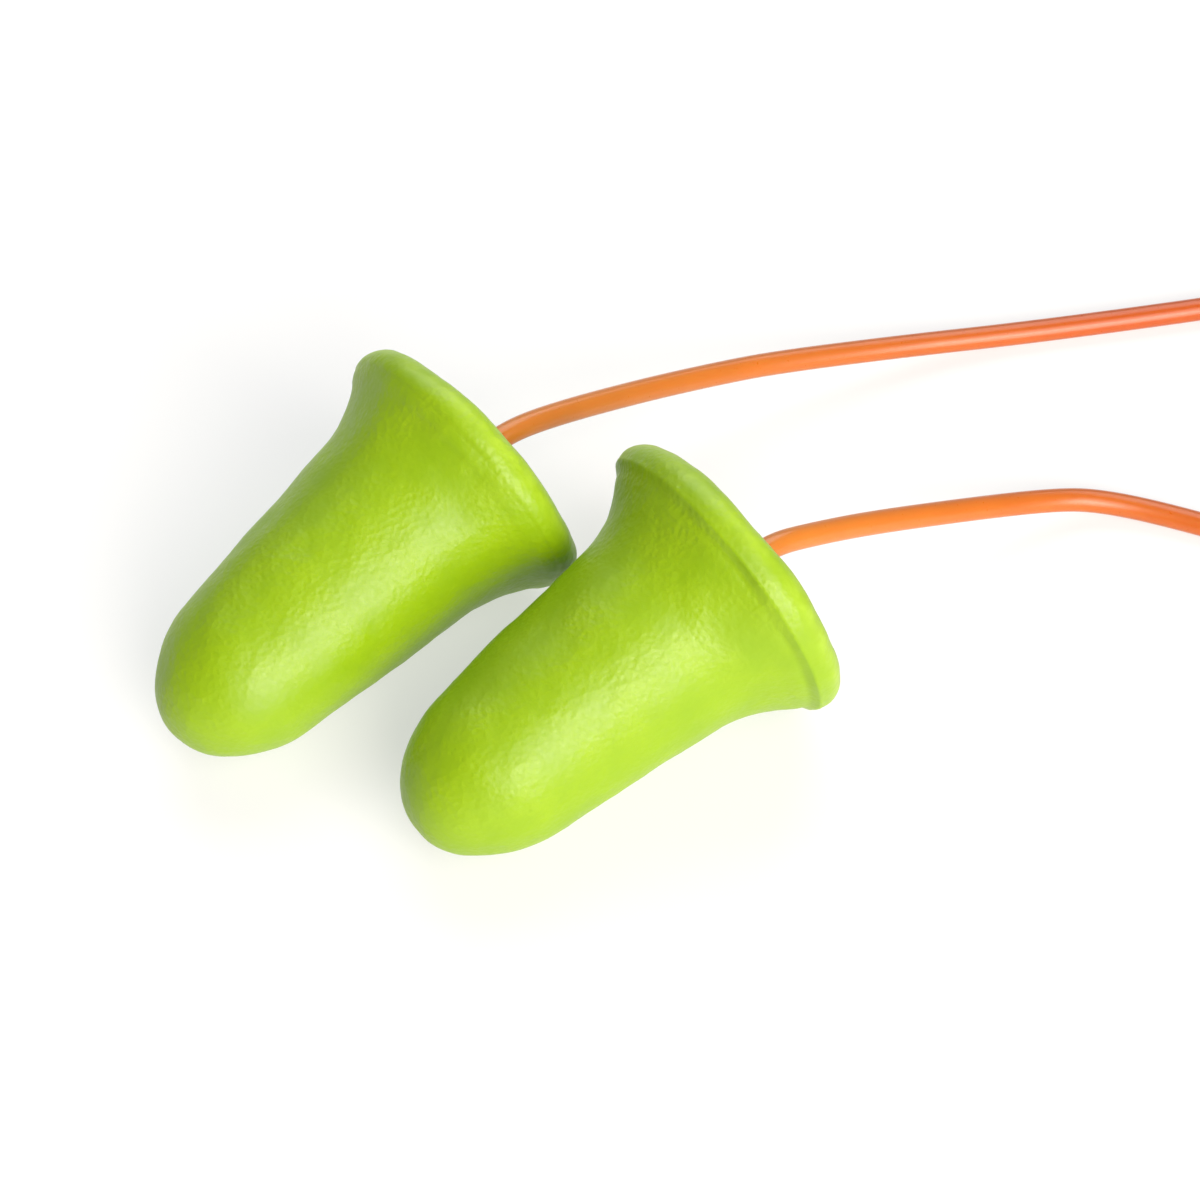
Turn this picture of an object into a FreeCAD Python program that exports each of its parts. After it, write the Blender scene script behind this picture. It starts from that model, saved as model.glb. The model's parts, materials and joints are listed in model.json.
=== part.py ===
import FreeCAD, Part
import os
from math import acos, asin, atan2, cos, hypot, pi, radians, sin, sqrt, tan

import Sketcher
from FreeCAD import Placement, Rotation, Vector

# A pair of corded foam ear plugs lying on their sides, in millimetres.
# Frame: +Z up with the surface at Z = 0, +Y from the plugs' tips to their flanges, and the
# origin at the bottom centre of the two plugs' box. One cord joins them through a stored coil.

SIZES = {
    # Foam plug, from the tip to the flange
    "plug_length": 27.35,
    "nose_radius": 4.5,
    "shoulder_radius": 8.6,
    "body_radius": 5.75,
    "taper_angle": 6.2,
    "bell_radius": 10.88,
    "lip_radius": 1.48,
    "flange_radius": 10.0,
    # How the pair lies
    "plug_gap": 0.6,
    "plug_stagger": 7.37,
    "plug_splay": 2.55,
    # Cord, and its ends glued into the plugs
    "cord_diameter": 1.6,
    "cord_play": 0.02,
    "glue_wall": 0.4,
    "glue_end": 0.5,
    "end_depth": 10.0,
    "end_gap": 0.1,
    # Stored coil
    "coil_across": 18.8,
    "coil_layers": 2,
    "coil_layer_turns": 4.25,
    "coil_corner": 0.7,
    "coil_x": 28.0,
    "coil_y": 68.0,
    "coil_bearing": 49.7,
    # Twist tie round the coil
    "tie_width": 2.2,
    "tie_thickness": 0.4,
    "tie_play": 0.05,
    "tail_length": 8.0,
    "tail_width": 2.0,
    "tail_height": 2.0,
}

doc = FreeCAD.newDocument("ear_plugs")
sheet = doc.addObject("Spreadsheet::Sheet", "sizes")
for row, (alias, value) in enumerate(SIZES.items(), start=1):
    sheet.set(f"A{row}", alias)
    sheet.set(f"B{row}", str(value))
    sheet.setAlias(f"B{row}", alias)
doc.recompute()


def size(alias):
    """A driving dimension, read back from the sheet."""
    return float(sheet.get(alias))


# ---------------------------------------------------------------- sketches and features

def new_body(label):
    """One physical piece."""
    body = doc.addObject("PartDesign::Body", label)
    body.Label = label
    return body


def new_sketch(body, name):
    """A sketch on the body's own XZ plane: its X is the body's X and its Y the body's Z."""
    sketch = body.newObject("Sketcher::SketchObject", name)
    upright = next(plane for plane in body.Origin.OriginFeatures if plane.Role == "XZ_Plane")
    sketch.AttachmentSupport = (upright, [""])
    sketch.MapMode = "FlatFace"
    return sketch


def bind(sketch, name, formula, kind, *where):
    """A dimension of the sketch that follows a formula of the sheet's sizes."""
    index = sketch.addConstraint(Sketcher.Constraint(kind, *where))
    sketch.renameConstraint(index, name)
    sketch.setExpression(f"Constraints.{name}", formula)


def bound_rectangle(sketch, left, right, bottom, top):
    """A rectangle whose four sides follow formulas; None puts a side on the sketch's axis."""
    corners = [Vector(1, 1, 0), Vector(2, 1, 0), Vector(2, 2, 0), Vector(1, 2, 0)]
    edges = []
    for number in range(4):
        line = Part.LineSegment(corners[number], corners[(number + 1) % 4])
        edges.append(sketch.addGeometry(line, False))
    for number in range(4):
        following = edges[(number + 1) % 4]
        sketch.addConstraint(Sketcher.Constraint("Coincident", edges[number], 2, following, 1))
        level = "Horizontal" if number % 2 == 0 else "Vertical"
        sketch.addConstraint(Sketcher.Constraint(level, edges[number]))
    sides = (
        ("left", left, "DistanceX", edges[0], 1, -2),
        ("right", right, "DistanceX", edges[0], 2, -2),
        ("bottom", bottom, "DistanceY", edges[1], 1, -1),
        ("top", top, "DistanceY", edges[1], 2, -1),
    )
    for side, formula, kind, edge, end, axis in sides:
        if formula is None:
            sketch.addConstraint(Sketcher.Constraint("PointOnObject", edge, end, axis))
        else:
            bind(sketch, f"{side}_{edges[0]}", formula, kind, -1, 1, edge, end, 1.0)


def turned(body, name, sketch, kind="PartDesign::Revolution"):
    """A full turn of a sketch round the body's Z."""
    feature = body.newObject(kind, name)
    feature.Profile = sketch
    feature.ReferenceAxis = (sketch, ["V_Axis"])
    feature.Angle = 360.0
    sketch.Visibility = False
    return feature


def turned_disc(body, name, radius, bottom, top, kind="PartDesign::Revolution"):
    """A round disc or, as a groove, a round hole about the body's Z."""
    sketch = new_sketch(body, f"{name}_section")
    bound_rectangle(sketch, None, radius, bottom, top)
    return turned(body, name, sketch, kind)


def both_ways(body, name, sketch, width, kind="PartDesign::Pad"):
    """A pad or pocket of the given width, half of it to each side of the sketch."""
    feature = body.newObject(kind, name)
    feature.Profile = sketch
    feature.setExpression("Length", width)
    feature.Midplane = True
    return feature


# ---------------------------------------------------------------- how the plugs lie

def plug_outline():
    """The joints and centres of the plug's half outline, as radius and height above the tip."""
    nose = size("nose_radius")
    shoulder = size("shoulder_radius")
    taper = radians(size("taper_angle"))
    bell = size("bell_radius")
    lip = size("lip_radius")

    turn = asin((shoulder * cos(taper) - size("body_radius")) / (shoulder - nose))
    outline = {
        "tip": Vector(0, 0),
        "nose_centre": Vector(0, nose),
        "nose_end": Vector(nose * sin(turn), nose - nose * cos(turn)),
        "shoulder_centre": Vector((nose - shoulder) * sin(turn), nose + (shoulder - nose) * cos(turn)),
        "lip_centre": Vector(size("flange_radius") - lip, size("plug_length") - lip),
        "base_edge": Vector(size("flange_radius") - lip, size("plug_length")),
        "base_centre": Vector(0, size("plug_length")),
    }
    # The barrel's line runs on from the shoulder, and the bell's arc joins it to the lip's arc.
    along_barrel = Vector(sin(taper), cos(taper))
    out_of_barrel = Vector(cos(taper), -sin(taper))
    outline["shoulder_end"] = outline["shoulder_centre"] + out_of_barrel * shoulder
    to_lip = outline["lip_centre"] - outline["shoulder_end"]
    bell_reach = sqrt((bell + lip) ** 2 - (bell - to_lip.dot(out_of_barrel)) ** 2)
    outline["bell_start"] = outline["shoulder_end"] + along_barrel * (to_lip.dot(along_barrel) - bell_reach)
    outline["bell_centre"] = outline["bell_start"] + out_of_barrel * bell
    to_bell = (outline["bell_centre"] - outline["lip_centre"]).normalize()
    outline["bell_end"] = outline["lip_centre"] + to_bell * lip
    return outline


OUTLINE = plug_outline()


def resting_pose():
    """The tilt of a plug that lies on its shoulder and its flange, and the height of its tip."""
    lip = size("lip_radius")
    gap = OUTLINE["lip_centre"] - OUTLINE["shoulder_centre"]
    tilt = atan2(gap.x, gap.y) + asin((lip - size("shoulder_radius")) / hypot(gap.x, gap.y))
    tip_height = OUTLINE["lip_centre"].x * cos(tilt) - OUTLINE["lip_centre"].y * sin(tilt) + lip
    return tilt, tip_height


TILT, TIP_HEIGHT = resting_pose()
SPLAY = radians(size("plug_splay"))
AXIS_Y = cos(TILT) * cos(SPLAY)

# Along Y the pair's box runs from the left plug's nose to the right plug's flange.
NOSE_REACH = size("nose_radius") * (AXIS_Y - 1)
FLANGE_REACH = (
    OUTLINE["lip_centre"].y * AXIS_Y
    + OUTLINE["lip_centre"].x * sin(acos(AXIS_Y))
    + size("lip_radius")
)
MIDDLE_TIP_Y = -(NOSE_REACH + FLANGE_REACH) / 2

# Across X the left plug's flange stands clear of the right plug's barrel beside it.
SPREAD = sin(SPLAY) * cos(TILT) * (2 * size("plug_length") - size("plug_stagger") / AXIS_Y)
TIP_SPACING = size("flange_radius") + OUTLINE["bell_start"].x + size("plug_gap") - SPREAD


class Side:
    """Where one plug lies: its tip, its axis towards the flange and the cord's exit."""

    def __init__(self, name, sign):
        self.name = name
        self.axis = Vector(sign * sin(SPLAY) * cos(TILT), AXIS_Y, sin(TILT))
        self.tip = Vector(
            sign * TIP_SPACING / 2,
            MIDDLE_TIP_Y + sign * size("plug_stagger") / 2,
            TIP_HEIGHT,
        )
        self.exit = self.tip + self.axis * size("plug_length")
        self.placement = Placement(self.tip, Rotation(Vector(0, 0, 1), self.axis))


SIDES = [Side("left", -1), Side("right", 1)]

# ---------------------------------------------------------------- foam, glue and cord ends

CORD_RADIUS = "sizes.cord_diameter / 2"
GLUE_BORE = f"{CORD_RADIUS} + sizes.cord_play"
GLUE_RADIUS = f"{GLUE_BORE} + sizes.glue_wall"
END_BOTTOM = "sizes.plug_length - sizes.end_depth"
GLUE_FLOOR = f"{END_BOTTOM} - sizes.end_gap"
BORE_BOTTOM = f"{GLUE_FLOOR} - sizes.glue_end"


def foam_plug(side):
    """Soft foam, moulded in one piece: domed nose, slight taper, bell and rounded flange."""
    body = new_body(f"{side.name}_foam_plug")
    sketch = new_sketch(body, f"{side.name}_outline")

    def arc(centre, radius, start, end):
        """Anticlockwise from one joint of the outline to another."""
        angles = []
        for joint in (start, end):
            spoke = OUTLINE[joint] - OUTLINE[centre]
            angles.append(atan2(spoke.y, spoke.x))
        circle = Part.Circle(OUTLINE[centre], Vector(0, 0, 1), size(radius))
        return sketch.addGeometry(Part.ArcOfCircle(circle, *angles), False)

    def line(start, end):
        return sketch.addGeometry(Part.LineSegment(OUTLINE[start], OUTLINE[end]), False)

    nose = arc("nose_centre", "nose_radius", "tip", "nose_end")
    shoulder = arc("shoulder_centre", "shoulder_radius", "nose_end", "shoulder_end")
    barrel = line("shoulder_end", "bell_start")
    bell = arc("bell_centre", "bell_radius", "bell_end", "bell_start")
    lip = arc("lip_centre", "lip_radius", "bell_end", "base_edge")
    base = line("base_edge", "base_centre")
    middle = line("base_centre", "tip")

    # Ends are 1 for a start, 2 for an end and 3 for a centre.
    smooth_joints = (
        (nose, 2, shoulder, 1),
        (shoulder, 2, barrel, 1),
        (barrel, 2, bell, 2),
        (bell, 1, lip, 1),
        (lip, 2, base, 1),
    )
    for joint in smooth_joints:
        sketch.addConstraint(Sketcher.Constraint("Tangent", *joint))
    sketch.addConstraint(Sketcher.Constraint("Coincident", base, 2, middle, 1))
    sketch.addConstraint(Sketcher.Constraint("Coincident", middle, 2, nose, 1))
    sketch.addConstraint(Sketcher.Constraint("Coincident", middle, 2, -1, 1))
    sketch.addConstraint(Sketcher.Constraint("PointOnObject", nose, 3, -2))
    sketch.addConstraint(Sketcher.Constraint("Vertical", middle))
    sketch.addConstraint(Sketcher.Constraint("Horizontal", base))

    bind(sketch, "nose", "sizes.nose_radius", "Radius", nose, size("nose_radius"))
    bind(sketch, "shoulder", "sizes.shoulder_radius", "Radius", shoulder, size("shoulder_radius"))
    bind(sketch, "bell", "sizes.bell_radius", "Radius", bell, size("bell_radius"))
    bind(sketch, "lip", "sizes.lip_radius", "Radius", lip, size("lip_radius"))
    bind(
        sketch, "barrel", "90 - sizes.taper_angle",
        "Angle", barrel, radians(90 - size("taper_angle")),
    )
    bind(
        sketch, "waist", "sizes.body_radius",
        "DistanceX", -1, 1, barrel, 1, size("body_radius"),
    )
    bind(
        sketch, "flange", "sizes.flange_radius - sizes.lip_radius",
        "DistanceX", -1, 1, lip, 3, OUTLINE["lip_centre"].x,
    )
    bind(
        sketch, "height", "sizes.plug_length",
        "DistanceY", -1, 1, base, 1, size("plug_length"),
    )
    turned(body, f"{side.name}_foam", sketch)
    turned_disc(
        body, f"{side.name}_foam_bore",
        GLUE_RADIUS, BORE_BOTTOM, "sizes.plug_length", "PartDesign::Groove",
    )
    body.Placement = side.placement
    return body


def glue_sleeve(side):
    """The adhesive that fills the plug's blind hole round the cord's end, as a thin cup."""
    body = new_body(f"{side.name}_glue_sleeve")
    turned_disc(body, f"{side.name}_glue", GLUE_RADIUS, BORE_BOTTOM, "sizes.plug_length")
    turned_disc(
        body, f"{side.name}_glue_bore",
        GLUE_BORE, GLUE_FLOOR, "sizes.plug_length", "PartDesign::Groove",
    )
    body.Placement = side.placement
    return body


def cord_end(side):
    """The length of cord that sits inside the plug, on the axis that the plug turns about."""
    body = new_body(f"{side.name}_cord_end")
    turned_disc(body, f"{side.name}_end", CORD_RADIUS, END_BOTTOM, "sizes.plug_length")
    body.Placement = side.placement
    return body


# ---------------------------------------------------------------- cord leads

# The cord turns down to the surface as soon as it leaves the soft foam, so its first runs
# are short and shorten towards that bend, which is tighter than the free cord's bends.
FIRST_RUN = 2.2
FLOOR = size("cord_diameter") / 2

# Each lead's own points after its first run, from the plug to the coil.
LEAD_POINTS = {
    "left": [
        (-8.9, 14.8, 9.6),
        (-8.2, 21.9, 7.1),
        (-7.3, 27.9, 5.0),
        (-6.2, 32.6, 3.6),
        (-2.9, 41.2, 1.6),
        (1.0, 48.6, FLOOR),
        (5.0, 55.3, FLOOR),
        (9.0, 62.2, FLOOR),
        (12.2, 68.4, FLOOR),
        (15.7, 73.2, FLOOR),
    ],
    "right": [
        (9.5, 22.0, 9.0),
        (10.1, 26.7, 6.8),
        (12.1, 35.4, 3.1),
        (13.9, 40.1, 1.7),
        (15.4, 42.4, 1.2),
        (18.3, 44.9, FLOOR),
        (23.4, 47.9, FLOOR),
        (30.0, 52.2, 0.9),
        (35.2, 56.6, 2.0),
    ],
}


def rounded_path(points, label):
    """Straight runs joined by tangent arcs, each as large as its two runs allow."""
    edges = []
    radii = []
    start = points[0]
    for before, corner, after in zip(points, points[1:], points[2:]):
        run_in = corner - before
        run_out = after - corner
        turn = run_in.getAngle(run_out)
        back = 0.45 * min(run_in.Length, run_out.Length)
        radii.append(back / tan(turn / 2))
        arc_start = corner - run_in.normalize() * back
        arc_end = corner + run_out.normalize() * back
        middle_turn = (run_out - run_in).normalize()
        arc_middle = corner + middle_turn * (back * tan(turn / 4))
        edges.append(Part.LineSegment(start, arc_start).toShape())
        edges.append(Part.Arc(arc_start, arc_middle, arc_end).toShape())
        start = arc_end
    edges.append(Part.LineSegment(start, points[-1]).toShape())
    print(label, "radii", [round(radius, 1) for radius in radii])
    return Part.Wire(edges)


def cord_lead(side):
    """The free cord from a plug's flange to the coil, as one round tube."""
    points = [side.exit, side.exit + side.axis * FIRST_RUN]
    points += [Vector(*point) for point in LEAD_POINTS[side.name]]
    path = rounded_path(points, f"{side.name}_cord_lead")
    section = Part.Wire([Part.makeCircle(size("cord_diameter") / 2, side.exit, side.axis)])
    lead = doc.addObject("Part::Feature", f"{side.name}_cord_lead")
    lead.Label = f"{side.name}_cord_lead"
    lead.Shape = path.makePipeShell([section], True, False)
    expected = pi * size("cord_diameter") ** 2 / 4 * path.Length
    print(lead.Label, "length", round(path.Length, 2), "volume / expected", round(lead.Shape.Volume / expected, 4))
    return lead


# ---------------------------------------------------------------- stored coil and its tie

HALF_BAND = "(sizes.coil_layer_turns + 1) * sizes.cord_diameter / 2"
COIL_OUTER = f"sizes.coil_across / 2 + {HALF_BAND}"
COIL_INNER = f"sizes.coil_across / 2 - {HALF_BAND}"
COIL_TOP = "sizes.coil_layers * sizes.cord_diameter + sizes.tie_thickness"
# The tie's flat inner strap crosses the coil's round hole, so it clears the hole at its edges.
TIE_INNER = f"sqrt(({COIL_INNER}) ^ 2 - (sizes.tie_width / 2) ^ 2) - sizes.tie_play"
COIL_PLACEMENT = Placement(
    Vector(size("coil_x"), size("coil_y"), 0),
    Rotation(Vector(0, 0, 1), size("coil_bearing")),
)


def cord_coil():
    """The outer shape of the stored turns: a flat ring, relieved below where the tie passes."""
    body = new_body("cord_coil")
    turned_disc(body, "coil_disc", COIL_OUTER, None, COIL_TOP)
    hole = turned_disc(body, "coil_hole", COIL_INNER, None, COIL_TOP, "PartDesign::Groove")
    doc.recompute()
    rims = [
        f"Edge{number}"
        for number, edge in enumerate(hole.Shape.Edges, start=1)
        if isinstance(edge.Curve, Part.Circle)
    ]
    fillet = body.newObject("PartDesign::Fillet", "coil_rounding")
    fillet.Base = (hole, rims)
    fillet.setExpression("Radius", "sizes.coil_corner")
    relief = new_sketch(body, "tie_relief_section")
    bound_rectangle(
        relief, f"{COIL_INNER} - 1", f"{COIL_OUTER} + 1",
        None, "sizes.tie_thickness + sizes.tie_play",
    )
    both_ways(body, "tie_relief", relief, "sizes.tie_width + 2 * sizes.tie_play", "PartDesign::Pocket")
    body.Placement = COIL_PLACEMENT
    return body


def twist_tie():
    """A plastic-covered wire strip round the coil, its two ends twisted into one tail."""
    body = new_body("coil_twist_tie")
    loop = new_sketch(body, "tie_loop_section")
    bound_rectangle(
        loop,
        f"{TIE_INNER} - sizes.tie_thickness",
        f"{COIL_OUTER} + sizes.tie_play + sizes.tie_thickness",
        None,
        f"{COIL_TOP} + sizes.tie_play + sizes.tie_thickness",
    )
    bound_rectangle(
        loop,
        TIE_INNER,
        f"{COIL_OUTER} + sizes.tie_play",
        "sizes.tie_thickness",
        f"{COIL_TOP} + sizes.tie_play",
    )
    both_ways(body, "tie_loop", loop, "sizes.tie_width")
    tail = new_sketch(body, "tie_tail_section")
    bound_rectangle(
        tail,
        f"{COIL_OUTER} + sizes.tie_play",
        f"{COIL_OUTER} + sizes.tie_play + sizes.tail_length",
        None,
        "sizes.tail_height",
    )
    both_ways(body, "tie_tail", tail, "sizes.tail_width")
    body.Placement = COIL_PLACEMENT
    return body


# ---------------------------------------------------------------- build, check and write

pieces = []
for side in SIDES:
    pieces += [foam_plug(side), glue_sleeve(side), cord_end(side), cord_lead(side)]
pieces += [cord_coil(), twist_tie()]
doc.recompute()

for item in doc.Objects:
    if "Invalid" in item.State or "Error" in item.State:
        raise RuntimeError(f"{item.Label} failed: {item.State}")
for piece in pieces:
    if piece.Shape.isNull() or not piece.Shape.isValid() or piece.Shape.Volume <= 0:
        raise RuntimeError(f"{piece.Label} has no valid solid")

os.makedirs("parts", exist_ok=True)
for piece in pieces:
    piece.Shape.exportStep(f"parts/{piece.Label}.step")
    print(piece.Label, len(piece.Shape.Solids), "solid", round(piece.Shape.Volume, 2), "mm3")
for side in SIDES:
    print(side.name, "exit", [round(c, 4) for c in side.exit], "axis", [round(c, 5) for c in side.axis])
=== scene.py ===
import json
from math import asin, atan2, cos, pi, radians, sin, sqrt, tan

import bmesh
import bpy
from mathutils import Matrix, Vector, noise


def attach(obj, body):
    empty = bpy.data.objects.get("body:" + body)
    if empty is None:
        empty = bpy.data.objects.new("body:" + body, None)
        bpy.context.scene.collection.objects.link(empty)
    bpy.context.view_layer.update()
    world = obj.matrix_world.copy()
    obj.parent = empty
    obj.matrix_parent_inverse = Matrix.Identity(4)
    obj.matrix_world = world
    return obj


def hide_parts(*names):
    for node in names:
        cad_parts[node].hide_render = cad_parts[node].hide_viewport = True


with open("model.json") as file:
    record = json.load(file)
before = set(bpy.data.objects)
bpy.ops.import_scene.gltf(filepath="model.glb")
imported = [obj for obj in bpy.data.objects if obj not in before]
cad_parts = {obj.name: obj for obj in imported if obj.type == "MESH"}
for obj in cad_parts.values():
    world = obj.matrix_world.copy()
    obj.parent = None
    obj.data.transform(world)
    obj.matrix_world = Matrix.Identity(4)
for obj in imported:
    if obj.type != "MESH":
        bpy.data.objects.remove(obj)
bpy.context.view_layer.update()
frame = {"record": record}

MM = 0.001

# ======================================================================================
# Camera: a long lens from above and to the right of the tips, with its horizon level, so
# the plugs lie slantwise with their flanges and the cord's leads towards the right.
# ======================================================================================

LOOK_AT = Vector((-0.6, 11.9, 0.0)) * MM
CAMERA_DISTANCE = 279.7 * MM
CAMERA_TURN = radians(49.71)      # from looking along +Y, turned towards -X
CAMERA_RISE = radians(53.79)
HALF_VIEW = radians(8.183)        # from the middle of the view to its side
SENSOR_WIDTH = 36.0               # millimetres, as Blender measures a lens

towards_camera = Vector((
    sin(CAMERA_TURN) * cos(CAMERA_RISE),
    -cos(CAMERA_TURN) * cos(CAMERA_RISE),
    sin(CAMERA_RISE),
))
camera_data = bpy.data.cameras.new("camera")
camera_data.sensor_width = SENSOR_WIDTH
camera_data.lens = SENSOR_WIDTH / 2 / tan(HALF_VIEW)
camera_data.clip_start = 5 * MM
camera = bpy.data.objects.new("camera", camera_data)
camera.location = LOOK_AT + towards_camera * CAMERA_DISTANCE
camera.rotation_euler = (-towards_camera).to_track_quat("-Z", "Y").to_euler()
bpy.context.collection.objects.link(camera)
bpy.context.scene.camera = camera

# ======================================================================================
# Cord: one length of soft orange vinyl, extruded round and solid. Each end is glued
# 10 mm deep into a plug, and the length that isn't needed lies in a neat tied coil.
# ======================================================================================

CORD_DIAMETER = 1.6 * MM
GLUED_DEPTH = 10.0 * MM
FIRST_RUN = 2.2 * MM
FLOOR = 0.8                       # the cord's centre line where it lies on the surface

# The route's own points in millimetres, from each plug to the coil.
LEFT_LEAD = [
    (-8.9, 14.8, 9.6),
    (-8.2, 21.9, 7.1),
    (-7.3, 27.9, 5.0),
    (-6.2, 32.6, 3.6),
    (-2.9, 41.2, 1.6),
    (1.0, 48.6, FLOOR),
    (5.0, 55.3, FLOOR),
    (9.0, 62.2, FLOOR),
    (12.2, 68.4, FLOOR),
    (15.7, 73.2, FLOOR),
]
RIGHT_LEAD = [
    (9.5, 22.0, 9.0),
    (10.1, 26.7, 6.8),
    (12.1, 35.4, 3.1),
    (13.9, 40.1, 1.7),
    (15.4, 42.4, 1.2),
    (18.3, 44.9, FLOOR),
    (23.4, 47.9, FLOOR),
    (30.0, 52.2, 0.9),
    (35.2, 56.6, 2.0),
]

COIL_CENTRE = (28.0, 68.0)
COIL_MEAN_RADIUS = 9.4
COIL_BEARING = radians(49.7)      # the way the cord runs as it enters, and where the tie is
LAYER_TURNS = 4.25
LAYER_CHANGE = 0.25               # the part of a turn in which the cord climbs to the top layer
POINTS_PER_TURN = 20
TIE_LIFT = 0.5                    # the turns ride up over the tie's lower strap
TIE_LIFT_SPREAD = radians(40)


def plug_axis(side):
    """The cord's exit from a plug and the plug's axis, both from the plug's own hinge."""
    joints = frame["record"]["behaviour"]["joints"]
    hinge = next(joint for joint in joints if joint["child"] == f"{side}_plug")
    return Vector(hinge["pos_m"]), Vector(hinge["axis"]).normalized()


def smooth_step(value):
    """From 0 to 1 with a soft start and a soft end."""
    value = min(max(value, 0.0), 1.0)
    return value * value * (3 - 2 * value)


def coil_points():
    """Inwards along the surface, up a layer, and outwards again on top, always clockwise."""
    points = []
    corner_reach = 1 / cos(pi / POINTS_PER_TURN)
    step_count = round(2 * LAYER_TURNS * POINTS_PER_TURN)
    half_band = LAYER_TURNS * CORD_DIAMETER / MM / 2
    for step in range(step_count + 1):
        turns = step / POINTS_PER_TURN
        inward = 1 - abs(turns / LAYER_TURNS - 1)
        radius = (COIL_MEAN_RADIUS + half_band * (1 - 2 * inward)) * corner_reach
        angle = COIL_BEARING + pi / 2 - 2 * pi * turns
        upper = smooth_step((turns - LAYER_TURNS) / LAYER_CHANGE + 0.5)
        off_tie = abs((angle - COIL_BEARING + pi) % (2 * pi) - pi)
        lift = TIE_LIFT * smooth_step(1 - off_tie / TIE_LIFT_SPREAD)
        points.append((
            COIL_CENTRE[0] + radius * cos(angle),
            COIL_CENTRE[1] + radius * sin(angle),
            FLOOR + upper * CORD_DIAMETER / MM + lift,
        ))
    return points


LEFT_EXIT, LEFT_AXIS = plug_axis("left")
RIGHT_EXIT, RIGHT_AXIS = plug_axis("right")
route = [LEFT_EXIT - LEFT_AXIS * GLUED_DEPTH, LEFT_EXIT, LEFT_EXIT + LEFT_AXIS * FIRST_RUN]
route += [Vector(point) * MM for point in LEFT_LEAD + coil_points() + RIGHT_LEAD[::-1]]
route += [RIGHT_EXIT + RIGHT_AXIS * FIRST_RUN, RIGHT_EXIT, RIGHT_EXIT - RIGHT_AXIS * GLUED_DEPTH]

cord_curve = bpy.data.curves.new("cord", "CURVE")
cord_curve.dimensions = "3D"
cord_curve.bevel_depth = CORD_DIAMETER / 2
cord_curve.bevel_resolution = 6
cord_curve.resolution_u = 8
cord_curve.use_fill_caps = True
spline = cord_curve.splines.new("NURBS")
spline.points.add(len(route) - 1)
for point, place in zip(spline.points, route):
    point.co = (*place, 1.0)
spline.order_u = 3
spline.use_endpoint_u = True
cord = bpy.data.objects.new("cord", cord_curve)
bpy.context.collection.objects.link(cord)


def new_material(name):
    """A node material and its Principled shader."""
    material = bpy.data.materials.new(name)
    material.use_nodes = True
    return material, material.node_tree.nodes["Principled BSDF"]


def add_node(tree, kind, **settings):
    """A node with its settings, added to a material's or a group's tree."""
    node = tree.nodes.new(kind)
    for setting, value in settings.items():
        setattr(node, setting, value)
    return node


def make_grain_group():
    """Two sizes of noise in the object's own space and a mix of them: a colour mask and a height."""
    group = bpy.data.node_groups.new("surface_grain", "ShaderNodeTree")
    for label, default in (("Broad Scale", 200.0), ("Fine Scale", 2000.0), ("Fine Share", 0.5)):
        socket = group.interface.new_socket(label, in_out="INPUT", socket_type="NodeSocketFloat")
        socket.default_value = default
    for label in ("Broad", "Fine", "Height"):
        group.interface.new_socket(label, in_out="OUTPUT", socket_type="NodeSocketFloat")
    inside = add_node(group, "NodeGroupInput")
    outside = add_node(group, "NodeGroupOutput")
    place = add_node(group, "ShaderNodeTexCoord")
    broad = add_node(group, "ShaderNodeTexNoise")
    broad.inputs["Detail"].default_value = 3.0
    fine = add_node(group, "ShaderNodeTexNoise")
    fine.inputs["Detail"].default_value = 4.0
    fine.inputs["Roughness"].default_value = 0.6
    mix = add_node(group, "ShaderNodeMix", data_type="FLOAT")
    for texture, scale in ((broad, "Broad Scale"), (fine, "Fine Scale")):
        group.links.new(place.outputs["Object"], texture.inputs["Vector"])
        group.links.new(inside.outputs[scale], texture.inputs["Scale"])
    group.links.new(inside.outputs["Fine Share"], mix.inputs["Factor"])
    group.links.new(broad.outputs["Fac"], mix.inputs["A"])
    group.links.new(fine.outputs["Fac"], mix.inputs["B"])
    group.links.new(broad.outputs["Fac"], outside.inputs["Broad"])
    group.links.new(fine.outputs["Fac"], outside.inputs["Fine"])
    group.links.new(mix.outputs["Result"], outside.inputs["Height"])
    return group


GRAIN = make_grain_group()


def place_grain(material, broad_scale, fine_scale, fine_share):
    """The grain group placed in a material with that material's own values."""
    node = add_node(material.node_tree, "ShaderNodeGroup", node_tree=GRAIN)
    node.inputs["Broad Scale"].default_value = broad_scale
    node.inputs["Fine Scale"].default_value = fine_scale
    node.inputs["Fine Share"].default_value = fine_share
    return node


def ramp(material, source, low, high, low_colour, high_colour):
    """A two-colour ramp of a mask, from low to high."""
    node = add_node(material.node_tree, "ShaderNodeValToRGB")
    stops = node.color_ramp.elements
    stops[0].position = low
    stops[0].color = (*low_colour, 1.0)
    stops[1].position = high
    stops[1].color = (*high_colour, 1.0)
    material.node_tree.links.new(source, node.inputs["Fac"])
    return node.outputs["Color"]


def remap(material, source, low, high, out_low, out_high):
    """A mask's range from low to high, stretched to another range."""
    node = add_node(material.node_tree, "ShaderNodeMapRange")
    limits = {"From Min": low, "From Max": high, "To Min": out_low, "To Max": out_high}
    for label, value in limits.items():
        node.inputs[label].default_value = value
    material.node_tree.links.new(source, node.inputs["Value"])
    return node.outputs["Result"]


def bump(material, shader, height, distance, strength):
    """Small relief from a height mask, on the shader's own normal."""
    node = add_node(material.node_tree, "ShaderNodeBump")
    node.inputs["Distance"].default_value = distance
    node.inputs["Strength"].default_value = strength
    material.node_tree.links.new(height, node.inputs["Height"])
    material.node_tree.links.new(node.outputs["Normal"], shader.inputs["Normal"])
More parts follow.
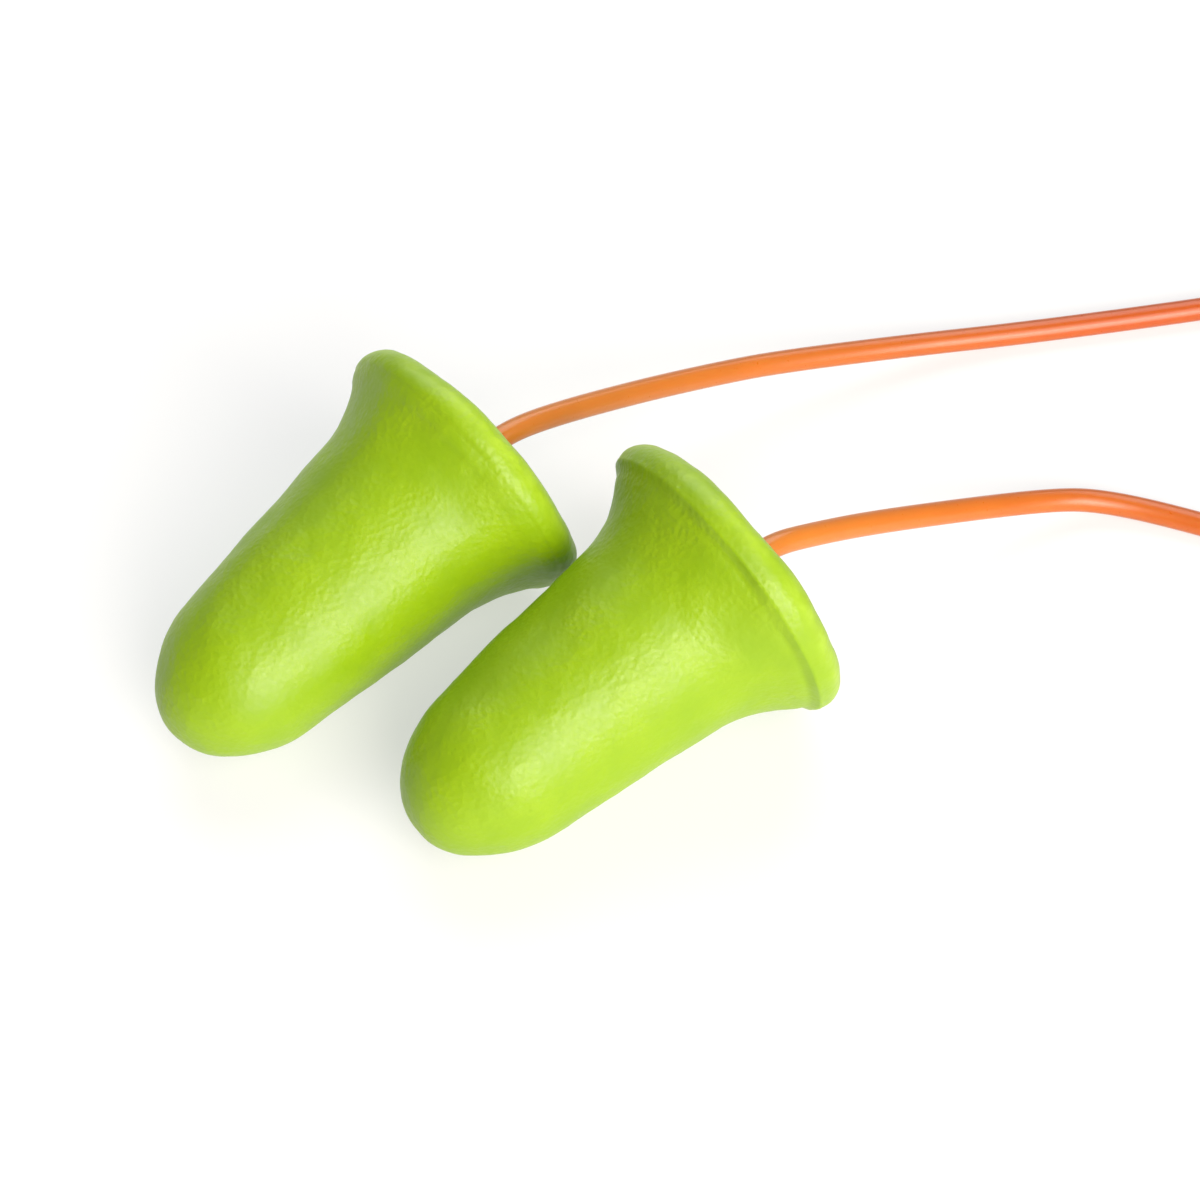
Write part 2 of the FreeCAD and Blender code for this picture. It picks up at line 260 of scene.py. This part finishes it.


# The vinyl is painted paler near the plugs, a painted light standing for the brighter light there, and
# deepens along +Y.
PAINTED_LIGHT_VINYL = (0.56, 0.180, 0.022)
DEEP_VINYL = (0.47, 0.082, 0.005)
PAINTED_LIGHT_FULL_UP_TO = 18 * MM
PAINTED_LIGHT_GONE_FROM = 55 * MM


def make_vinyl():
    """Semi-gloss soft vinyl, a little milky, with faint mottling and painted light near the plugs."""
    material, shader = new_material("orange_vinyl")
    links = material.node_tree.links
    grain = place_grain(material, 350.0, 4200.0, 0.5)
    place = add_node(material.node_tree, "ShaderNodeTexCoord")
    apart = add_node(material.node_tree, "ShaderNodeSeparateXYZ")
    links.new(place.outputs["Object"], apart.inputs["Vector"])
    # The paler colour near the plugs is painted light, fading out along +Y.
    along = remap(material, apart.outputs["Y"], PAINTED_LIGHT_FULL_UP_TO, PAINTED_LIGHT_GONE_FROM, 0.0, 1.0)
    painted_light_ramp = ramp(material, along, 0.0, 1.0, PAINTED_LIGHT_VINYL, DEEP_VINYL)
    mottle = ramp(material, grain.outputs["Broad"], 0.3, 0.7, (0.95, 0.94, 0.93), (1.0, 1.0, 1.0))
    tint = add_node(material.node_tree, "ShaderNodeMix", data_type="RGBA", blend_type="MULTIPLY")
    tint.inputs["Factor"].default_value = 1.0
    links.new(painted_light_ramp, tint.inputs["A"])
    links.new(mottle, tint.inputs["B"])
    links.new(tint.outputs["Result"], shader.inputs["Base Color"])
    rough = remap(material, grain.outputs["Fine"], 0.3, 0.7, 0.27, 0.35)
    links.new(rough, shader.inputs["Roughness"])
    shader.inputs["Specular IOR Level"].default_value = 0.5
    shader.inputs["Subsurface Weight"].default_value = 0.3
    shader.inputs["Subsurface Radius"].default_value = (1.0, 0.35, 0.1)
    shader.inputs["Subsurface Scale"].default_value = 0.5 * MM
    bump(material, shader, grain.outputs["Height"], 0.015 * MM, 0.18)
    return material


cord_curve.materials.append(make_vinyl())
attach(cord, "cord")
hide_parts("left_cord_end", "right_cord_end", "left_cord_lead", "right_cord_lead", "cord_coil")

# ======================================================================================
# Twist tie: a strip of white plastic film with a wire along its middle. It goes once
# round the coil, and its two ends are twisted together outside it.
# ======================================================================================

STRIP_WIDTH = 2.2 * MM
STRIP_THICKNESS = 0.18 * MM
WIRE_RADIUS = 0.22 * MM
RIDGE_SPREAD = 1.2                # the film's ridge is wider than the wire under it
LOOP_CORNER = 0.8 * MM
TIE_GAP = 0.12 * MM               # over and outside the coil
INSIDE_GAP = 0.35 * MM            # inside the coil
UNDER_GAP = 0.16 * MM             # under the lower strap
TAIL_LENGTH = 8.0 * MM
TAIL_GAP = 0.35 * MM              # from each tail to the line that they twist about
TAIL_TWISTS = 2.5
TWIST_START = 0.06                # shares of the tail's length
SPLAY_START = 0.88
END_SPLAY = 0.75 * MM
SAG_RATE = 1.6                    # the tails come down to the surface well before their ends


def strip_section():
    """The strip's closed cross-section: flat film with the wire's round ridge on both faces."""
    half = STRIP_WIDTH / 2
    thin = STRIP_THICKNESS / 2
    steps = 6
    upper = [(-half, thin)]
    for step in range(steps + 1):
        angle = pi - pi * step / steps
        upper.append((
            WIRE_RADIUS * RIDGE_SPREAD * cos(angle),
            thin + (WIRE_RADIUS - thin) * sin(angle),
        ))
    upper.append((half, thin))
    lower = [(-across, -high) for across, high in upper]
    return upper + lower


def sweep(name, path, across, section):
    """A closed section carried along a path; across gives the section's X at each point."""
    mesh = bpy.data.meshes.new(name)
    builder = bmesh.new()
    rings = []
    for number, (place, side) in enumerate(zip(path, across)):
        ahead = path[min(number + 1, len(path) - 1)] - path[max(number - 1, 0)]
        ahead.normalize()
        side = (side - ahead * side.dot(ahead)).normalized()
        out = ahead.cross(side)
        rings.append([builder.verts.new(place + side * x + out * y) for x, y in section])
    for ring, following in zip(rings, rings[1:]):
        for corner in range(len(section)):
            after = (corner + 1) % len(section)
            builder.faces.new((ring[corner], ring[after], following[after], following[corner]))
    builder.faces.new(rings[0][::-1])
    builder.faces.new(rings[-1])
    bmesh.ops.recalc_face_normals(builder, faces=builder.faces)
    for face in builder.faces:
        face.smooth = True
    builder.to_mesh(mesh)
    builder.free()
    piece = bpy.data.objects.new(name, mesh)
    bpy.context.collection.objects.link(piece)
    return piece


def loop_path():
    """From the tail's root, once round the coil's section, and back to the tail's root."""
    band = (LAYER_TURNS + 1) * CORD_DIAMETER / 2
    inner = COIL_MEAN_RADIUS * MM - band - INSIDE_GAP
    outer = COIL_MEAN_RADIUS * MM + band + TIE_GAP
    bottom = STRIP_THICKNESS / 2 + UNDER_GAP
    top = FLOOR * MM + CORD_DIAMETER * 1.5 + TIE_LIFT * MM + TIE_GAP
    root = (bottom + top) / 2
    corners = [
        (outer, root + TAIL_GAP), (outer, top), (inner, top),
        (inner, bottom), (outer, bottom), (outer, root - TAIL_GAP),
    ]
    bend_steps = 6
    flat = []
    for number, corner in enumerate(corners):
        here = Vector(corner)
        if number in (0, len(corners) - 1):
            flat.append(here)
            continue
        back = (Vector(corners[number - 1]) - here).normalized() * LOOP_CORNER
        on = (Vector(corners[number + 1]) - here).normalized() * LOOP_CORNER
        for step in range(bend_steps + 1):
            share = step / bend_steps
            flat.append(here + back * (1 - share) ** 2 + on * share ** 2)
    return [(point.x, point.y) for point in flat], root, outer


def make_tie():
    """The loop round the coil, and the two tails twisted together outside it."""
    flat, root, outer = loop_path()
    centre = Vector((COIL_CENTRE[0], COIL_CENTRE[1], 0)) * MM
    outward = Vector((cos(COIL_BEARING), sin(COIL_BEARING), 0))
    sideways = Vector((-sin(COIL_BEARING), cos(COIL_BEARING), 0))
    up = Vector((0, 0, 1))
    section = strip_section()
    loop = [centre + outward * far + up * high for far, high in flat]
    pieces = [sweep("twist_tie_loop", loop, [sideways] * len(loop), section)]
    for number, start in enumerate((0, pi)):
        path = []
        across = []
        steps = 60
        for step in range(steps + 1):
            share = step / steps
            turn = start + pi / 2 + 2 * pi * TAIL_TWISTS * max(share - TWIST_START, 0)
            spread = TAIL_GAP + END_SPLAY * smooth_step((share - SPLAY_START) / (1 - SPLAY_START))
            away = up * sin(turn) + sideways * cos(turn)
            sag = (root - (STRIP_WIDTH / 2 + TAIL_GAP)) * smooth_step(share * SAG_RATE)
            middle = centre + outward * (outer + TAIL_LENGTH * share) + up * (root - sag)
            path.append(middle + away * spread)
            across.append(outward.cross(away))
        pieces.append(sweep(f"twist_tie_tail_{number + 1}", path, across, section))
    return pieces


def make_tie_film():
    """Matt white film with faint creases and the wire's grey showing through a little."""
    material, shader = new_material("tie_film")
    grain = place_grain(material, 900.0, 5000.0, 0.4)
    colour = ramp(material, grain.outputs["Broad"], 0.35, 0.65, (0.74, 0.74, 0.72), (0.86, 0.86, 0.84))
    material.node_tree.links.new(colour, shader.inputs["Base Color"])
    rough = remap(material, grain.outputs["Fine"], 0.3, 0.7, 0.38, 0.55)
    material.node_tree.links.new(rough, shader.inputs["Roughness"])
    bump(material, shader, grain.outputs["Height"], 0.06 * MM, 0.6)
    return material


tie_film = make_tie_film()
tie_pieces = make_tie()
for piece in tie_pieces:
    piece.data.materials.append(tie_film)
    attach(piece, "cord")
    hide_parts("coil_twist_tie")

# ======================================================================================
# Foam plugs: each is one moulding of soft, slow-recovery polyurethane foam with a fine
# closed skin. The lip is a soft bead, and the flat back has the cord's hole in its middle.
# ======================================================================================

PLUG_LENGTH = 27.35
NOSE_RADIUS = 4.5
SHOULDER_RADIUS = 8.6
BODY_RADIUS = 5.75
TAPER = radians(6.2)
BELL_RADIUS = 10.88
LIP_RADIUS = 1.48
FLANGE_RADIUS = 10.0
HOLE_RADIUS = 1.2
HOLE_EDGE_RADIUS = 0.35
HOLE_DEPTHS = (1.5, 3.0)          # the hole's wall, down past the glue's foot
TIP_DOT_RADIUS = 0.02             # the small flat that closes the tip
AROUND = 192

# How each soft moulding differs from the drawn outline: its flange's size, the crease
# inside its lip, which is filled where negative, and places where the lip is pulled out
# (bearing, width, amount).
PLUG_LOOKS = {
    "left": {"flange": 0.98, "crease": -0.08, "seed": 3.0, "lip_pulls": [(radians(215), 0.5, 0.10)]},
    "right": {"flange": 1.02, "crease": 0.15, "seed": 11.0, "lip_pulls": [(radians(208), 0.35, 0.35)]},
}

# How much of a look or a ripple reaches a spot: the flange's own changes set in above the
# body, and everything fades out towards the hole.
FLANGE_FROM = 19.0
FLANGE_RISE = 7.0
FLANGE_FADE = 4.0
RIPPLE_FADE = 1.5

# The mould's gentle unevenness: how fine each ripple is, its place in the noise, its height.
RIPPLES = ((0.22, 0, 0.16), (0.7, 5, 0.045), (1.9, 9, 0.014))

# The crease just below the start of the lip, and the low ridge just above it.
CREASE_BELOW = 0.35
CREASE_WIDTH = 0.30
RIDGE_ABOVE = 0.22
RIDGE_WIDTH = 0.20
RIDGE_SHARE = 0.9
INSIDE_LIP = 6.0                  # nothing nearer the axis than this is creased
BACK_POINTS = 25                  # nor are the outline's last points, on the flat back

# A lip that is pulled out also droops towards the tip, but not at the very back.
PULL_DROOP = 0.6
PULL_DEPTH = 1.5

# The lip's bead is painted paler round a line a little below the back: a painted highlight where the
# bead's edge catches the light.
LIP_HIGHLIGHT_BELOW_BACK = 0.8
LIP_HIGHLIGHT_WIDTH = 0.75
LIP_HIGHLIGHT_FROM_RADIUS = 8.0


def arc_points(centre, radius, start, end, count):
    """Points of an arc between two angles, its first point left out."""
    points = []
    for step in range(1, count + 1):
        angle = start + (end - start) * step / count
        points.append((centre[0] + radius * cos(angle), centre[1] + radius * sin(angle)))
    return points


def plug_outline():
    """Half outline as (radius, height above the tip), from the tip to the hole in the back."""
    turn = asin((SHOULDER_RADIUS * cos(TAPER) - BODY_RADIUS) / (SHOULDER_RADIUS - NOSE_RADIUS))
    shoulder = Vector((
        (NOSE_RADIUS - SHOULDER_RADIUS) * sin(turn),
        NOSE_RADIUS + (SHOULDER_RADIUS - NOSE_RADIUS) * cos(turn),
    ))
    lip = Vector((FLANGE_RADIUS - LIP_RADIUS, PLUG_LENGTH - LIP_RADIUS))
    along = Vector((sin(TAPER), cos(TAPER)))
    out = Vector((cos(TAPER), -sin(TAPER)))
    barrel_start = shoulder + out * SHOULDER_RADIUS
    to_lip = lip - barrel_start
    reach = sqrt((BELL_RADIUS + LIP_RADIUS) ** 2 - (BELL_RADIUS - to_lip.dot(out)) ** 2)
    barrel_end = barrel_start + along * (to_lip.dot(along) - reach)
    bell = barrel_end + out * BELL_RADIUS
    to_bell = bell - lip
    lip_start = atan2(to_bell.y, to_bell.x)

    points = [(TIP_DOT_RADIUS, 0.0)]
    points += arc_points((0.0, NOSE_RADIUS), NOSE_RADIUS, -pi / 2, turn - pi / 2, 16)
    points += arc_points(shoulder, SHOULDER_RADIUS, turn - pi / 2, -TAPER, 16)
    for step in range(1, 33):
        point = barrel_start.lerp(barrel_end, step / 32)
        points.append((point.x, point.y))
    points += arc_points(bell, BELL_RADIUS, pi - TAPER, lip_start + pi, 28)
    crease_height = points[-1][1]
    points += arc_points(lip, LIP_RADIUS, lip_start, pi / 2, 28)
    hole_edge = (HOLE_RADIUS + HOLE_EDGE_RADIUS, PLUG_LENGTH - HOLE_EDGE_RADIUS)
    for step in range(1, 25):
        share = step / 24
        points.append((lip.x + (hole_edge[0] - lip.x) * share, PLUG_LENGTH))
    points += arc_points(hole_edge, HOLE_EDGE_RADIUS, pi / 2, pi, 6)
    for depth in HOLE_DEPTHS:
        points.append((HOLE_RADIUS, PLUG_LENGTH - depth))
    return points, crease_height


def bell_shape(value, centre, width):
    """1 at the centre, falling smoothly to 0 a few widths away."""
    offset = (value - centre) / width
    return 1 / (1 + offset ** 2) ** 2


def ripple(seed, spot):
    """How far the foam stands out from the drawn outline at a spot."""
    stand_out = 0.0
    for fineness, place, height in RIPPLES:
        stand_out += noise.noise(spot * fineness + Vector((seed + place,) * 3)) * height
    return stand_out


def lip_crease(depth, spot, height, crease_height):
    """The crease and its ridge at a spot, both uneven round the rim."""
    crease = -depth * bell_shape(height, crease_height - CREASE_BELOW, CREASE_WIDTH)
    crease += depth * RIDGE_SHARE * bell_shape(height, crease_height + RIDGE_ABOVE, RIDGE_WIDTH)
    return crease * (0.75 + 0.5 * noise.noise(spot * 0.35))


def lip_pull(pulls, angle, on_flange):
    """How far the lip is pulled out at a bearing."""
    total = 0.0
    for bearing, width, amount in pulls:
        off = abs((angle - bearing + pi) % (2 * pi) - pi)
        total += amount * on_flange ** 3 * smooth_step(1 - off / (2 * width))
    return total


def make_plug(side):
    """One moulding: the outline turned about the plug's axis, then made a little uneven."""
    look = PLUG_LOOKS[side]
    exit_point, axis = plug_axis(side)
    to_row = Vector((0, 0, 1)).rotation_difference(axis).to_matrix().to_4x4()
    to_row.translation = exit_point - axis * PLUG_LENGTH * MM
    outline, crease_height = plug_outline()
    mesh = bpy.data.meshes.new(f"{side}_foam")
    builder = bmesh.new()
    highlight_layer = builder.verts.layers.float.new("lip_painted_highlight")
    rings = []
    for number, (radius, height) in enumerate(outline):
        before = Vector(outline[max(number - 1, 0)])
        after = Vector(outline[min(number + 1, len(outline) - 1)])
        tangent = (after - before).normalized()
        normal = Vector((tangent.y, -tangent.x))
        on_flange = smooth_step((height - FLANGE_FROM) / FLANGE_RISE)
        on_flange *= smooth_step((radius - HOLE_RADIUS) / FLANGE_FADE)
        fade = 1.0
        if height > PLUG_LENGTH / 2:
            fade = smooth_step((radius - HOLE_RADIUS) / RIPPLE_FADE)
        creased = radius >= INSIDE_LIP and number <= len(outline) - BACK_POINTS
        # How much of the lip's painted highlight reaches this ring.
        highlight_share = bell_shape(height, PLUG_LENGTH - LIP_HIGHLIGHT_BELOW_BACK, LIP_HIGHLIGHT_WIDTH)
        highlight_share *= smooth_step(radius - LIP_HIGHLIGHT_FROM_RADIUS)
        ring = []
        for step in range(AROUND):
            angle = 2 * pi * step / AROUND
            spot = Vector((radius * cos(angle), radius * sin(angle), height))
            push = fade * ripple(look["seed"], spot)
            if creased:
                push += lip_crease(look["crease"], spot, height, crease_height)
            pull = lip_pull(look["lip_pulls"], angle, on_flange)
            new_radius = radius * (1 + (look["flange"] - 1) * on_flange) + normal.x * push + pull
            new_height = height + normal.y * push
            new_height -= pull * PULL_DROOP * smooth_step((PLUG_LENGTH - height) / PULL_DEPTH)
            vertex = builder.verts.new(Vector((
                new_radius * cos(angle) * MM,
                new_radius * sin(angle) * MM,
                new_height * MM,
            )))
            vertex[highlight_layer] = highlight_share
            ring.append(vertex)
        rings.append(ring)
    for ring, following in zip(rings, rings[1:]):
        for step in range(AROUND):
            after = (step + 1) % AROUND
            builder.faces.new((ring[step], ring[after], following[after], following[step]))
    builder.faces.new(rings[0][::-1])
    builder.faces.new(rings[-1])
    bmesh.ops.recalc_face_normals(builder, faces=builder.faces)
    for face in builder.faces:
        face.smooth = True
    builder.transform(to_row)
    builder.to_mesh(mesh)
    builder.free()
    plug = bpy.data.objects.new(f"{side}_foam", mesh)
    bpy.context.collection.objects.link(plug)
    return plug


DEEP_FOAM = (0.217, 0.368, 0.0004)
LIGHT_FOAM = (0.256, 0.410, 0.0008)
# The colour of the painted highlight on the lip's bead.
LIP_HIGHLIGHT_FOAM = (0.42, 0.60, 0.05)


def make_foam():
    """Yellow-green foam: a satin skin of tiny dimples, cloudy in colour, with a painted highlight at the
    lip.
    """
    material, shader = new_material("lime_foam")
    tree = material.node_tree
    grain = place_grain(material, 260.0, 3000.0, 0.55)
    place = add_node(tree, "ShaderNodeTexCoord")
    cells = add_node(tree, "ShaderNodeTexVoronoi", feature="SMOOTH_F1")
    cells.inputs["Scale"].default_value = 2600.0
    cells.inputs["Smoothness"].default_value = 0.6
    tree.links.new(place.outputs["Object"], cells.inputs["Vector"])

    clouds = ramp(material, grain.outputs["Broad"], 0.3, 0.7, DEEP_FOAM, LIGHT_FOAM)
    # The lip's pale band is a painted highlight, broken into patches.
    rim = add_node(tree, "ShaderNodeAttribute", attribute_name="lip_painted_highlight")
    patches = add_node(tree, "ShaderNodeTexNoise")
    patches.inputs["Scale"].default_value = 700.0
    patches.inputs["Detail"].default_value = 3.0
    tree.links.new(place.outputs["Object"], patches.inputs["Vector"])
    patchy = remap(material, patches.outputs["Fac"], 0.40, 0.65, 0.25, 0.50)
    highlight_share = add_node(tree, "ShaderNodeMath", operation="MULTIPLY")
    tree.links.new(rim.outputs["Fac"], highlight_share.inputs[0])
    tree.links.new(patchy, highlight_share.inputs[1])
    paler = add_node(tree, "ShaderNodeMix", data_type="RGBA")
    paler.inputs["B"].default_value = (*LIP_HIGHLIGHT_FOAM, 1.0)
    tree.links.new(highlight_share.outputs["Value"], paler.inputs["Factor"])
    tree.links.new(clouds, paler.inputs["A"])
    tree.links.new(paler.outputs["Result"], shader.inputs["Base Color"])

    rough = remap(material, grain.outputs["Fine"], 0.3, 0.7, 0.36, 0.50)
    tree.links.new(rough, shader.inputs["Roughness"])
    shader.inputs["Specular IOR Level"].default_value = 0.42
    shader.inputs["Subsurface Weight"].default_value = 0.35
    shader.inputs["Subsurface Radius"].default_value = (0.8, 1.0, 0.25)
    shader.inputs["Subsurface Scale"].default_value = 0.9 * MM

    height = add_node(tree, "ShaderNodeMath", operation="MULTIPLY_ADD")
    height.inputs[1].default_value = 0.6
    tree.links.new(cells.outputs["Distance"], height.inputs[0])
    tree.links.new(grain.outputs["Height"], height.inputs[2])
    coarser = remap(material, grain.outputs["Broad"], 0.38, 0.62, 0.4, 1.5)
    uneven = add_node(tree, "ShaderNodeMath", operation="MULTIPLY")
    tree.links.new(height.outputs["Value"], uneven.inputs[0])
    tree.links.new(coarser, uneven.inputs[1])
    bump(material, shader, uneven.outputs["Value"], 0.08 * MM, 0.6)
    return material


foam = make_foam()
for side in ("left", "right"):
    plug = make_plug(side)
    plug.data.materials.append(foam)
    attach(plug, f"{side}_plug")
    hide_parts(f"{side}_foam_plug")

# ======================================================================================
# Glue: clear adhesive run into each plug's hole before the cord is pushed in. It shows
# as a small raised ring round the cord at the back of the plug.
# ======================================================================================

GLUE_INNER = 0.78                 # just inside the cord's skin
GLUE_OUTER = 1.5
GLUE_RISE = 0.34                  # up the cord
GLUE_FOOT = 2.6                   # down the hole
GLUE_SKIN = 0.02                  # over the foam at the ring's edge
GLUE_CREST = 0.05                 # the width of its top edge against the cord
GLUE_SIDE = HOLE_RADIUS - 0.03    # in the hole


def make_glue(side):
    """A meniscus: it climbs the cord, thins out over the foam and fills the hole below."""
    exit_point, axis = plug_axis(side)
    to_row = Vector((0, 0, 1)).rotation_difference(axis).to_matrix().to_4x4()
    to_row.translation = exit_point
    profile = [(GLUE_INNER, -GLUE_FOOT), (GLUE_INNER, GLUE_RISE)]
    for step in range(1, 9):
        share = step / 8
        profile.append((
            GLUE_INNER + GLUE_CREST + (GLUE_OUTER - GLUE_INNER - GLUE_CREST) * share,
            GLUE_RISE * (1 - share) ** 2 + GLUE_SKIN,
        ))
    profile += [(GLUE_OUTER, -0.12), (GLUE_SIDE, -0.5), (GLUE_SIDE, -GLUE_FOOT)]
    mesh = bpy.data.meshes.new(f"{side}_glue")
    builder = bmesh.new()
    steps = 64
    rings = []
    for number in range(steps):
        angle = 2 * pi * number / steps
        swell = 1 + 0.10 * sin(2 * angle + 0.6) + 0.05 * sin(5 * angle)
        ring = []
        for radius, height in profile:
            reach = radius
            if radius > HOLE_RADIUS:
                reach = HOLE_RADIUS + (radius - HOLE_RADIUS) * swell
            ring.append(builder.verts.new(Vector((reach * cos(angle), reach * sin(angle), height)) * MM))
        rings.append(ring)
    for number in range(steps):
        ring, following = rings[number], rings[(number + 1) % steps]
        for corner in range(len(profile)):
            after = (corner + 1) % len(profile)
            builder.faces.new((ring[corner], ring[after], following[after], following[corner]))
    bmesh.ops.recalc_face_normals(builder, faces=builder.faces)
    for face in builder.faces:
        face.smooth = True
    builder.transform(to_row)
    builder.to_mesh(mesh)
    builder.free()
    glue = bpy.data.objects.new(f"{side}_glue", mesh)
    bpy.context.collection.objects.link(glue)
    return glue


def make_adhesive():
    """Cured adhesive, clear with a warm cast, so the foam's green shows through it."""
    material, shader = new_material("clear_adhesive")
    grain = place_grain(material, 600.0, 3000.0, 0.3)
    colour = ramp(material, grain.outputs["Broad"], 0.3, 0.7, (0.34, 0.46, 0.05), (0.44, 0.55, 0.11))
    material.node_tree.links.new(colour, shader.inputs["Base Color"])
    rough = remap(material, grain.outputs["Fine"], 0.3, 0.7, 0.12, 0.24)
    material.node_tree.links.new(rough, shader.inputs["Roughness"])
    shader.inputs["Subsurface Weight"].default_value = 0.5
    shader.inputs["Subsurface Radius"].default_value = (1.0, 1.0, 0.5)
    shader.inputs["Subsurface Scale"].default_value = 0.5 * MM
    bump(material, shader, grain.outputs["Height"], 0.05 * MM, 0.3)
    return material


adhesive = make_adhesive()
for side in ("left", "right"):
    glue = make_glue(side)
    glue.data.materials.append(adhesive)
    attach(glue, f"{side}_plug")
    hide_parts(f"{side}_glue_sleeve")

# ======================================================================================
# Studio: a plain white acrylic surface lit from underneath as well, two warm softboxes on
# the right, a cooler one behind on the left, and an even grey surround.
# ======================================================================================

FLOOR_SIZE = 12.0
SURFACE_COLOUR = (0.39, 0.39, 0.39)
GLOW_FROM_BELOW = 0.56
LIGHT_DISTANCE = 0.60
SURROUND = 0.21


def make_floor():
    """The surface that the plugs lie on, one flat square."""
    mesh = bpy.data.meshes.new("floor")
    builder = bmesh.new()
    bmesh.ops.create_grid(builder, x_segments=1, y_segments=1, size=FLOOR_SIZE / 2)
    builder.to_mesh(mesh)
    builder.free()
    floor = bpy.data.objects.new("floor", mesh)
    bpy.context.collection.objects.link(floor)
    material, shader = new_material("studio_surface")
    shader.inputs["Base Color"].default_value = (*SURFACE_COLOUR, 1.0)
    shader.inputs["Roughness"].default_value = 0.9
    shader.inputs["Specular IOR Level"].default_value = 0.1
    shader.inputs["Emission Color"].default_value = (1.0, 1.0, 1.0, 1.0)
    shader.inputs["Emission Strength"].default_value = GLOW_FROM_BELOW
    mesh.materials.append(material)


def area_light(name, direction, width, power, colour):
    """A square softbox that faces the plugs, LIGHT_DISTANCE away."""
    data = bpy.data.lights.new(name, "AREA")
    data.shape = "SQUARE"
    data.size = width
    data.energy = power
    data.color = colour
    light = bpy.data.objects.new(name, data)
    way = Vector(direction).normalized()
    light.location = LOOK_AT + way * LIGHT_DISTANCE
    light.rotation_euler = (-way).to_track_quat("-Z", "Y").to_euler()
    bpy.context.collection.objects.link(light)


make_floor()
area_light("low_softbox", (0.88, -0.20, 0.40), 0.44, 4.8, (1.0, 0.91, 0.82))
area_light("high_softbox", (0.70, -0.08, 0.71), 0.44, 2.3, (1.0, 0.94, 0.88))
area_light("back_softbox", (-0.52, 0.44, 0.73), 0.55, 2.8, (0.97, 0.99, 1.0))

world = bpy.data.worlds.new("studio")
world.use_nodes = True
background = world.node_tree.nodes["Background"]
background.inputs["Color"].default_value = (1.0, 1.0, 1.0, 1.0)
background.inputs["Strength"].default_value = SURROUND
bpy.context.scene.world = world
bpy.context.scene.view_settings.view_transform = "Standard"
